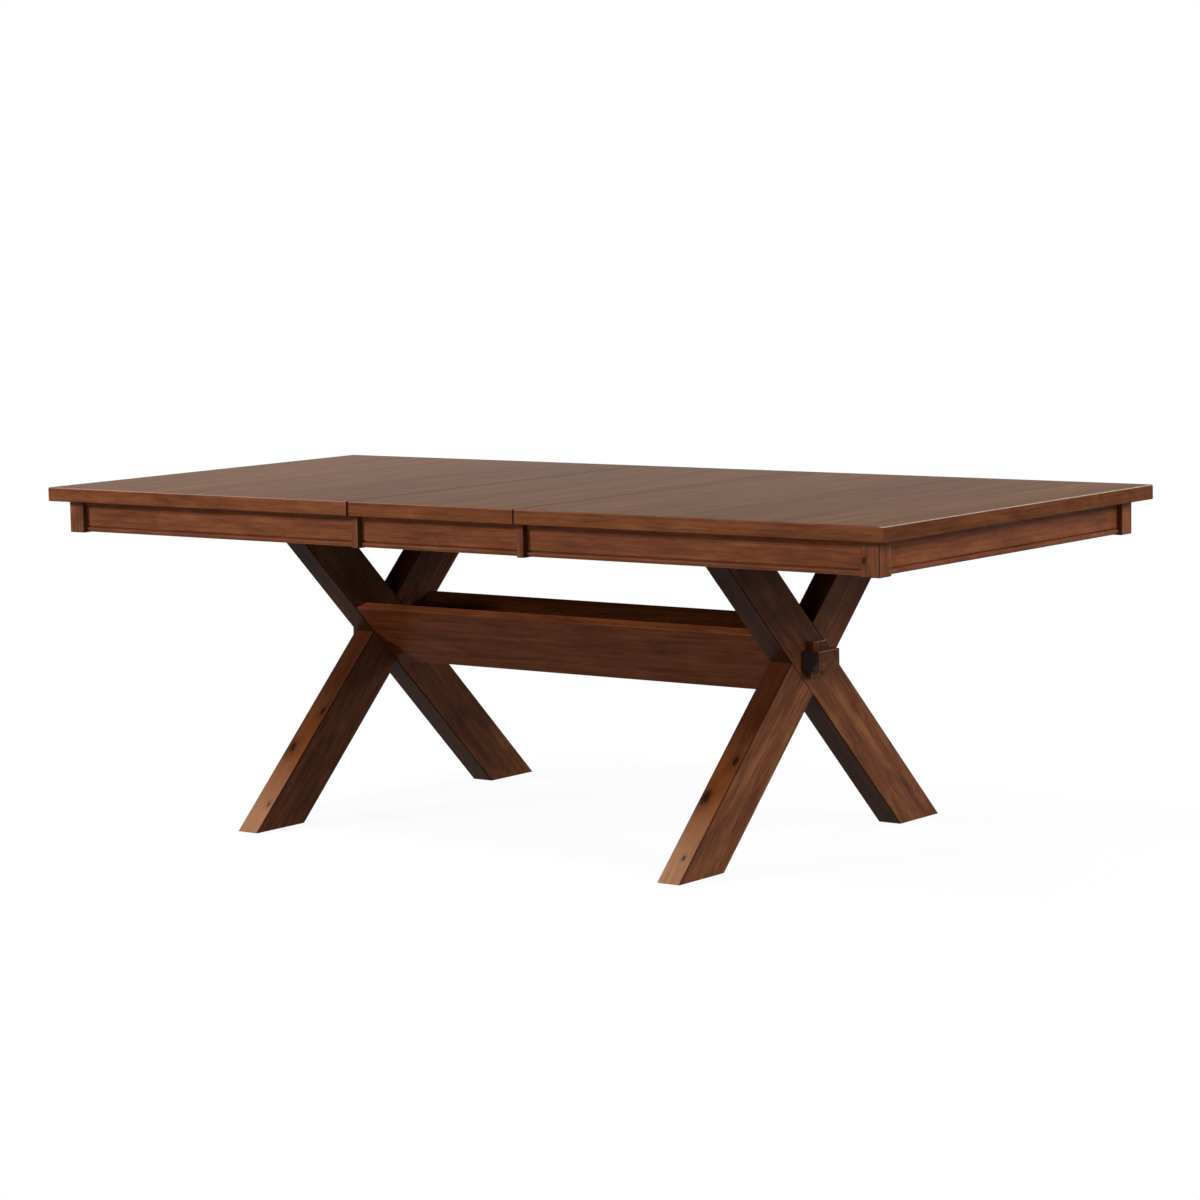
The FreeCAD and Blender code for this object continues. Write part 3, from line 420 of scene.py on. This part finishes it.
# Top: two halves and the leaf, veneered with the grain across the table and lipped with solid wood all round.
# Satin lacquer, so the flat of the top mirrors a soft haze of the room and looks greyer than its edges;
# the rounded upper arris carries a painted highlight, and the eased arrises at the two seams are painted dark
# as shade in the gaps.
veneer_tones = ((0.064, 0.0240, 0.0085), (0.100, 0.0400, 0.0140), (0.140, 0.0590, 0.0215))
lipping_tones = ((0.075, 0.0225, 0.0085), (0.130, 0.0420, 0.0165), (0.190, 0.0670, 0.0270))
end_tones = ((0.062, 0.0195, 0.0080), (0.104, 0.0350, 0.0145), (0.155, 0.0560, 0.0235))
# Painted highlight on the rounded upper arris.
painted_arris_highlight = (0.50, 0.37, 0.29)
# Painted shade in the two seams.
seam_shade = (0.008, 0.004, 0.003)
seam_place = 0.2286
seam_shade_reach = (0.0018, 0.0026)
left_seam_extra = 0.0011
seam_shade_share = 0.95
veneer_width = 0.1524
veneer_stretch = 3.0
veneer_figure = 0.8
lipping_figure = 0.9
lighter_or_darker = 0.025
# The painted highlight on the rounded arris fades away from the left end and comes back on the right end's
# arris.
highlight_fades = (-0.9, 0.5)
left_highlight = 0.30
right_end_arris = (1.130, 1.136)
right_end_highlight = 0.7
top_gloss = 0.00014
top_roughness = (0.08, 0.13)
top_relief = 0.05
top_coat = 0.05
top_coat_roughness = 0.35


def laid_veneer(tree, place, across, shift):
    """Strips of veneer side by side, each from another part of the log and a little lighter or darker."""
    strip = together(tree, "FLOOR", together(tree, "MULTIPLY", across, 1.0 / veneer_width), 0.0)
    chance = add_node(tree, "ShaderNodeTexWhiteNoise", noise_dimensions="1D")
    tree.links.new(strip, chance.inputs["W"])
    slid = add_node(tree, "ShaderNodeVectorMath", operation="ADD")
    tree.links.new(along_grain(tree, place, crosswise, shift), slid.inputs[0])
    tree.links.new(chance.outputs["Color"], slid.inputs[1])
    lightness = span(tree, chance.outputs["Value"], 0.0, 1.0, -lighter_or_darker, lighter_or_darker)
    return wood_surface(tree, slid.outputs[0], veneer_tones, veneer_figure, veneer_stretch, lightness)


def solid_lipping(tree, place, facing, shift):
    """Solid wood round the edge, its grain along the long sides and along the ends."""
    long_coords = along_grain(tree, place, lengthwise, shift)
    long_edge = wood_surface(tree, long_coords, lipping_tones, lipping_figure)[0]
    end_coords = along_grain(tree, place, crosswise, shift[::-1])
    end_edge = wood_surface(tree, end_coords, end_tones, lipping_figure)[0]
    on_long_side = together(tree, "GREATER_THAN", absolute(tree, facing["Y"]), 0.5)
    return mixed_colour(tree, on_long_side, end_edge, long_edge)


def beside_seam(tree, facing, across):
    """One on the narrow strips beside the two seams that are painted dark as shade, zero elsewhere and on the
    seam faces.
    """
    from_seam = absolute(tree, together(tree, "SUBTRACT", absolute(tree, across), seam_place))
    widened = together(tree, "ADD", from_seam, span(tree, across, -0.1, 0.1, -left_seam_extra, 0.0))
    return together(tree, "MULTIPLY", span(tree, widened, *seam_shade_reach, 1.0, 0.0),
                    not_square_to(tree, absolute(tree, facing["X"])))


def top_finish(name, shift):
    """Veneer on the flats of a panel, lipping round its edge, and a painted highlight or painted shade on its
    arrises.
    """
    made = bpy.data.materials.new(name)
    made.use_nodes = True
    tree = made.node_tree
    shader = tree.nodes["Principled BSDF"]
    place = add_node(tree, "ShaderNodeTexCoord")
    facing = parted(tree, place.outputs["Normal"])
    across = parted(tree, place.outputs["Object"])["X"]
    flat, streaks, height = laid_veneer(tree, place, across, shift)
    lipping = solid_lipping(tree, place, facing, shift)
    on_flat = together(tree, "GREATER_THAN", absolute(tree, facing["Z"]), 0.9)
    colour = mixed_colour(tree, on_flat, lipping, flat)
    above_the_side = span(tree, facing["Z"], 0.22, 0.35, 0.0, 1.0)
    below_the_flat = span(tree, facing["Z"], 0.95, 0.985, 1.0, 0.0)
    rounded = together(tree, "MULTIPLY", above_the_side, below_the_flat)
    at_seam = beside_seam(tree, facing, across)
    # Painted highlight on the rounded arris, kept off the seams.
    arris_highlight = together(tree, "MULTIPLY", rounded, together(tree, "SUBTRACT", 1.0, at_seam))
    towards_left = span(tree, across, *highlight_fades, left_highlight, 0.0)
    at_right_end = span(tree, across, *right_end_arris, 0.0, right_end_highlight)
    highlight_share = together(tree, "MAXIMUM", towards_left, at_right_end)
    colour = mixed_colour(tree, together(tree, "MULTIPLY", arris_highlight, highlight_share), colour, painted_arris_highlight)
    # Painted shade in the seams.
    tinted = together(tree, "MULTIPLY", at_seam, seam_shade_share)
    colour = mixed_colour(tree, tinted, colour, seam_shade)
    lacquered(shader, tree, colour, streaks, height, top_gloss, top_roughness, top_relief)
    shader.inputs["Coat Weight"].default_value = top_coat
    shader.inputs["Coat Roughness"].default_value = top_coat_roughness
    return made


for number, name in enumerate(("top_left", "top_leaf", "top_right")):
    shift = (0.33 * number, 0.18 + 0.81 * number, 0.1 + 0.5 * number)
    finish_node(name, top_finish("lacquered_" + name, shift))

# Apron: recessed panels with a quirk and a bead run along the bottom edge, grain along each panel.
# Streakier boards than the top, with the arrises and the bead painted a little paler as a highlight.
apron_tones = ((0.078, 0.0215, 0.0085), (0.150, 0.0450, 0.0175), (0.225, 0.0780, 0.0310))
# Painted highlight along the arrises and the bead.
apron_arris_highlight = (0.185, 0.080, 0.045)
apron_gloss = 0.04
for number, name in enumerate(("apron_front_left", "apron_front_leaf", "apron_front_right", "apron_rear_left",
                               "apron_rear_leaf", "apron_rear_right", "apron_end_left", "apron_end_right")):
    along = crosswise if "_end_" in name else lengthwise
    shift = (0.6 * number, 0.13 + 0.21 * number, 0.13 * number)
    finish_node(name, wood("stained_" + name, along, shift, apron_tones, apron_gloss, figure=0.8,
                           arris=apron_arris_highlight, arris_reach=0.0012))

# Posts at the corners and stiles at the seams: upright pieces with their grain standing, glued to the panels.
# Their arrises are only just eased and are coloured as a thin dark line.
post_tones = ((0.078, 0.0230, 0.0090), (0.138, 0.0440, 0.0175), (0.205, 0.0740, 0.0300))
post_arris = (0.016, 0.0070, 0.0045)
post_knots = {"post_front_right": [((1.0735, -0.4994, 0.690), 0.0042, standing)]}
for number, name in enumerate(("post_front_left", "post_front_right", "post_rear_left", "post_rear_right",
                               "stile_front_left", "stile_front_leaf", "stile_rear_left", "stile_rear_leaf")):
    shift = (0.3 * number, 0.1 + 0.17 * number, 0.9 * number)
    finish_node(name, wood("stained_" + name, standing, shift, post_tones, apron_gloss,
                           knots=post_knots.get(name, ()), arris=post_arris, chamfers="XYZ"))

# Corner blocks and battens: pale sealed hardwood out of sight under the top, like the rails.
# The blocks are glued behind the posts, and the battens are screwed under the panels to keep them flat.
for number, name in enumerate(("corner_block_front_left", "corner_block_front_right",
                               "corner_block_rear_left", "corner_block_rear_right",
                               "batten_left", "batten_leaf", "batten_right")):
    seal(name, lengthwise, (0.5 * number, 0.1 + 0.4 * number, 0.8))


# Gear axles and alignment pins: turned steel, zinc plated, with a faint mottle.
# The pins are glued into the halves of the top and the axles are pressed into the runners.
def mottled(name, tones, metal, roughness, repeats):
    """A material with a fine mottle between two tones, with so many repeats in a metre."""
    made = bpy.data.materials.new(name)
    made.use_nodes = True
    tree = made.node_tree
    shader = tree.nodes["Principled BSDF"]
    shader.inputs["Metallic"].default_value = metal
    place = add_node(tree, "ShaderNodeTexCoord")
    mottle = streaks_of(tree, place.outputs["Object"], along=repeats, across=repeats, detail=4.0)
    tree.links.new(stain_ramp(tree, mottle, ((0.3, tones[0]), (0.7, tones[1]))), shader.inputs["Base Color"])
    tree.links.new(span(tree, mottle, 0.3, 0.7, *roughness), shader.inputs["Roughness"])
    bump = add_node(tree, "ShaderNodeBump")
    bump.inputs["Strength"].default_value = 0.15
    bump.inputs["Distance"].default_value = 0.0002
    tree.links.new(mottle, bump.inputs["Height"])
    tree.links.new(bump.outputs[0], shader.inputs["Normal"])
    return made


zinc_tones = ((0.45, 0.44, 0.42), (0.62, 0.61, 0.58))
zinc = mottled("zinc_plate", zinc_tones, metal=1.0, roughness=(0.28, 0.42), repeats=900.0)
for name in ("pinion_axles", "pins_left", "pins_right"):
    finish_node(name, zinc)

# Pinions and foot glides: moulded dark nylon with a fine even grain.
# The pinions turn on their axles between the racks; the glides are tapped into the feet.
nylon_tones = ((0.020, 0.019, 0.018), (0.034, 0.032, 0.030))
nylon = mottled("moulded_nylon", nylon_tones, metal=0.0, roughness=(0.42, 0.58), repeats=1500.0)
for name in ("pinion_front", "pinion_rear", "foot_glides"):
    finish_node(name, nylon)

# Wood screws: zinc plated pan heads with a cross recess, driven up through the rails, battens and head beams,
# and down through the head beams into the legs. Each set stands where the model has its plain screws.
head_width = 0.0096
head_height = 0.003
shank_width = 0.005
head_facets = 20
shank_facets = 10
# The crown and the recess are given as shares of the head's width and height.
crown_share = 0.80
recess_length = 0.56
recess_width = 0.13
recess_depth = 0.55
# How far the cross is turned, and how near to each other the points of one screw are in plan.
drive_turn = 0.4
same_screw_within = 0.012


def screw_tree():
    """Geometry nodes that stand one screw, head first, on each point of a mesh."""
    tree = bpy.data.node_groups.new("pan_head_screws", "GeometryNodeTree")
    tree.interface.new_socket("Geometry", in_out="OUTPUT", socket_type="NodeSocketGeometry")
    tree.interface.new_socket("Seats", in_out="INPUT", socket_type="NodeSocketGeometry")
    for name in ("Head Width", "Head Height", "Shank Width", "Length", "Turn Over"):
        tree.interface.new_socket(name, in_out="INPUT", socket_type="NodeSocketFloat")
    given = add_node(tree, "NodeGroupInput")
    made = add_node(tree, "NodeGroupOutput")

    def share(name, part):
        return together(tree, "MULTIPLY", given.outputs[name], part)

    def vector(x, y, z):
        joined = add_node(tree, "ShaderNodeCombineXYZ")
        for socket, source in enumerate((x, y, z)):
            if isinstance(source, (int, float)):
                joined.inputs[socket].default_value = source
            else:
                tree.links.new(source, joined.inputs[socket])
        return joined.outputs[0]

    head = add_node(tree, "GeometryNodeMeshCone")
    head.inputs["Vertices"].default_value = head_facets
    tree.links.new(share("Head Width", 0.5), head.inputs["Radius Top"])
    tree.links.new(share("Head Width", 0.5 * crown_share), head.inputs["Radius Bottom"])
    tree.links.new(given.outputs["Head Height"], head.inputs["Depth"])
    recessed = add_node(tree, "GeometryNodeMeshBoolean", operation="DIFFERENCE", solver="EXACT")
    tree.links.new(head.outputs["Mesh"], recessed.inputs["Mesh 1"])
    for long_x, long_y in ((recess_length, recess_width), (recess_width, recess_length)):
        slot = add_node(tree, "GeometryNodeMeshCube")
        slot_size = vector(share("Head Width", long_x), share("Head Width", long_y),
                           share("Head Height", 2 * recess_depth))
        tree.links.new(slot_size, slot.inputs["Size"])
        tree.links.new(slot.outputs["Mesh"], recessed.inputs["Mesh 2"])
    shank = add_node(tree, "GeometryNodeMeshCylinder")
    shank.inputs["Vertices"].default_value = shank_facets
    tree.links.new(share("Shank Width", 0.5), shank.inputs["Radius"])
    shank_length = together(tree, "SUBTRACT", given.outputs["Length"], given.outputs["Head Height"])
    tree.links.new(shank_length, shank.inputs["Depth"])
    raised = add_node(tree, "GeometryNodeTransform")
    tree.links.new(shank.outputs["Mesh"], raised.inputs["Geometry"])
    half_shank = together(tree, "MULTIPLY", shank_length, 0.5)
    middle = together(tree, "ADD", given.outputs["Head Height"], half_shank)
    tree.links.new(vector(0.0, 0.0, middle), raised.inputs["Translation"])
    whole = add_node(tree, "GeometryNodeJoinGeometry")
    tree.links.new(recessed.outputs["Mesh"], whole.inputs[0])
    tree.links.new(raised.outputs["Geometry"], whole.inputs[0])
    driven = add_node(tree, "GeometryNodeInstanceOnPoints")
    tree.links.new(given.outputs["Seats"], driven.inputs["Points"])
    tree.links.new(whole.outputs[0], driven.inputs["Instance"])
    tree.links.new(vector(given.outputs["Turn Over"], 0.0, drive_turn), driven.inputs["Rotation"])
    real = add_node(tree, "GeometryNodeRealizeInstances")
    tree.links.new(driven.outputs[0], real.inputs[0])
    plated = add_node(tree, "GeometryNodeSetMaterial")
    plated.inputs["Material"].default_value = zinc
    tree.links.new(real.outputs[0], plated.inputs["Geometry"])
    tree.links.new(plated.outputs[0], made.inputs[0])
    return tree


def screw_axes(node):
    """The lowest and highest point on the axis of each screw in a group of the model's plain ones."""
    groups = []
    for vertex in nodes[node].data.vertices:
        near = [group for group in groups if (group[0].xy - vertex.co.xy).length < same_screw_within]
        if near:
            near[0].append(vertex.co.copy())
        else:
            groups.append([vertex.co.copy()])
    axes = []
    for group in groups:
        x = (min(point.x for point in group) + max(point.x for point in group)) / 2
        y = (min(point.y for point in group) + max(point.y for point in group)) / 2
        heights = [point.z for point in group]
        axes.append((Vector((x, y, min(heights))), Vector((x, y, max(heights)))))
    return axes


def drive_screws(node, body, head_up=False):
    """Put finished screws where a node of the model has plain ones, on the body that carries them."""
    axes = screw_axes(node)
    seats = bpy.data.meshes.new(node + "_seats")
    seats.from_pydata([high if head_up else low for low, high in axes], [], [])
    stand = bpy.data.objects.new(node + "_stand", seats)
    bpy.context.scene.collection.objects.link(stand)
    modifier = stand.modifiers.new("screws", "NODES")
    modifier.node_group = screws
    wanted = {"Head Width": head_width, "Head Height": head_height, "Shank Width": shank_width,
              "Length": (axes[0][1] - axes[0][0]).length, "Turn Over": math.pi if head_up else 0.0}
    for item in screws.interface.items_tree:
        if item.in_out == "INPUT" and item.name in wanted:
            modifier[item.identifier] = wanted[item.name]
    done = stand.evaluated_get(bpy.context.evaluated_depsgraph_get())
    mesh = bpy.data.meshes.new_from_object(done)
    bpy.data.objects.remove(stand)
    piece = bpy.data.objects.new("screws_" + node, mesh)
    bpy.context.scene.collection.objects.link(piece)
    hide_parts(node)
    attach(piece, body)


screws = screw_tree()
drive_screws("head_screws", "base", head_up=True)
drive_screws("runner_screws", "base")
drive_screws("rail_screws_left", "left_half")
drive_screws("batten_screws_left", "left_half")
drive_screws("rail_screws_right", "right_half")
drive_screws("batten_screws_right", "right_half")
drive_screws("batten_screws_leaf", "leaf")

# Studio: a plain white floor that keeps a faint shadow of the table, and a white room around it.
# What the camera and the gloss see is white; as a light the room is dim, so that the lamps do the work.
floor_reach = 40
floor_dim = (0.12, 0.12, 0.12, 1)
floor_white = (0.9, 0.9, 0.9, 1)
pure_white = (1, 1, 1, 1)
# The floor's own glow leaves a little room for the shadow near the table and none further out.
shadow_fades = (0.9, 2.4)
glow_near = 0.94
room_light = 0.06
corners = [(-floor_reach, -floor_reach, 0), (floor_reach, -floor_reach, 0),
           (floor_reach, floor_reach, 0), (-floor_reach, floor_reach, 0)]
floor_mesh = bpy.data.meshes.new("studio_floor")
floor_mesh.from_pydata(corners, [], [(0, 1, 2, 3)])
floor = bpy.data.objects.new("studio_floor", floor_mesh)
bpy.context.scene.collection.objects.link(floor)
floor_paint = bpy.data.materials.new("studio_white")
floor_paint.use_nodes = True


def seen_directly(tree):
    """One for what the camera sees, straight or by gloss or through glass."""
    path = add_node(tree, "ShaderNodeLightPath")
    seen = together(tree, "MAXIMUM", path.outputs["Is Camera Ray"], path.outputs["Is Glossy Ray"])
    return together(tree, "MAXIMUM", seen, path.outputs["Is Transmission Ray"])


def either(tree, amount, first, second):
    """The first shader where the amount is zero, the second where it is one."""
    made = add_node(tree, "ShaderNodeMixShader")
    for socket, source in enumerate((amount, first, second)):
        tree.links.new(source, made.inputs[socket])
    return made.outputs[0]


def plain(tree, kind, colour, strength=None):
    """A shader of one even colour, and of one strength where it gives light."""
    made = add_node(tree, kind)
    made.inputs["Color"].default_value = colour
    if strength is not None:
        made.inputs["Strength"].default_value = strength
    return made.outputs[0]


tree = floor_paint.node_tree
tree.nodes.remove(tree.nodes["Principled BSDF"])
place = add_node(tree, "ShaderNodeTexCoord")
away = add_node(tree, "ShaderNodeVectorMath", operation="LENGTH")
tree.links.new(place.outputs["Object"], away.inputs[0])
glow_share = span(tree, away.outputs["Value"], *shadow_fades, glow_near, 1.0)
shown = either(tree, glow_share, plain(tree, "ShaderNodeBsdfDiffuse", floor_white),
               plain(tree, "ShaderNodeEmission", pure_white, 1.0))
floor_look = either(tree, seen_directly(tree), plain(tree, "ShaderNodeBsdfDiffuse", floor_dim), shown)
tree.links.new(floor_look, tree.nodes["Material Output"].inputs["Surface"])
floor_mesh.materials.append(floor_paint)

world = bpy.data.worlds.new("studio")
bpy.context.scene.world = world
world.use_nodes = True
tree = world.node_tree
room = tree.nodes["Background"]
room.inputs["Color"].default_value = pure_white
room.inputs["Strength"].default_value = room_light
backdrop = plain(tree, "ShaderNodeBackground", pure_white, 1.0)
room_look = either(tree, seen_directly(tree), room.outputs[0], backdrop)
tree.links.new(room_look, tree.nodes["World Output"].inputs["Surface"])


# Lamps: a low one from the left front for the long side, a weak one in front that reaches under the top,
# a high one from the left for the top and the feet, a raised and a weak low one from the right for the
# faces of the X frames, and one behind for the rear side.
def soft_lamp(name, place, aim, size, power):
    """A rectangular lamp at a place, turned to the point it is aimed at."""
    data = bpy.data.lights.new(name, "AREA")
    data.shape = "RECTANGLE"
    data.size = size[0]
    data.size_y = size[1]
    data.energy = power
    lamp = bpy.data.objects.new(name, data)
    lamp.location = place
    lamp.rotation_euler = (Vector(aim) - Vector(place)).to_track_quat("-Z", "Y").to_euler()
    bpy.context.scene.collection.objects.link(lamp)


soft_lamp("low_left_front", place=(-6.4, -9.0, 3.9), aim=(0, -0.3, 0.5), size=(1.9, 1.4), power=1150)
soft_lamp("low_front", place=(1.0, -8.2, 1.25), aim=(0, -0.3, 0.5), size=(3.0, 0.9), power=125)
soft_lamp("high_left", place=(-3.9, -1.6, 5.5), aim=(0, -0.3, 0.3), size=(1.6, 1.2), power=365)
soft_lamp("right", place=(5.8, 0.8, 3.2), aim=(0.6, 0, 0.3), size=(1.6, 2.2), power=292)
soft_lamp("low_right", place=(6.5, 0.0, 1.35), aim=(0, 0, 0.3), size=(3.2, 0.6), power=34)
soft_lamp("behind", place=(1.2, 8.0, 3.2), aim=(0, 0, 0.4), size=(2.6, 1.6), power=400)

# Camera: where the photograph was taken from, to the right of the long side and a little above the top.
# It looks slightly down and leans a little to one side, as the photograph does.
turn = math.radians(37.42)
dip = math.radians(6.47)
roll = math.radians(-1.18)
camera_place = (4.92225, -6.37647, 1.41855)
focal_length = 108.70
film_width = 36.0
ahead = Vector((-math.sin(turn) * math.cos(dip), math.cos(turn) * math.cos(dip), -math.sin(dip)))
level = Vector((math.cos(turn), math.sin(turn), 0))
above = level.cross(ahead)
right = level * math.cos(roll) + above * math.sin(roll)
upright = above * math.cos(roll) - level * math.sin(roll)
view = Matrix((right, upright, -ahead)).transposed().to_4x4()
view.translation = camera_place
camera_data = bpy.data.cameras.new("photograph")
camera_data.sensor_width = film_width
camera_data.lens = focal_length
camera = bpy.data.objects.new("photograph", camera_data)
camera.matrix_world = view
bpy.context.scene.collection.objects.link(camera)
bpy.context.scene.camera = camera
bpy.context.scene.view_settings.view_transform = "Standard"
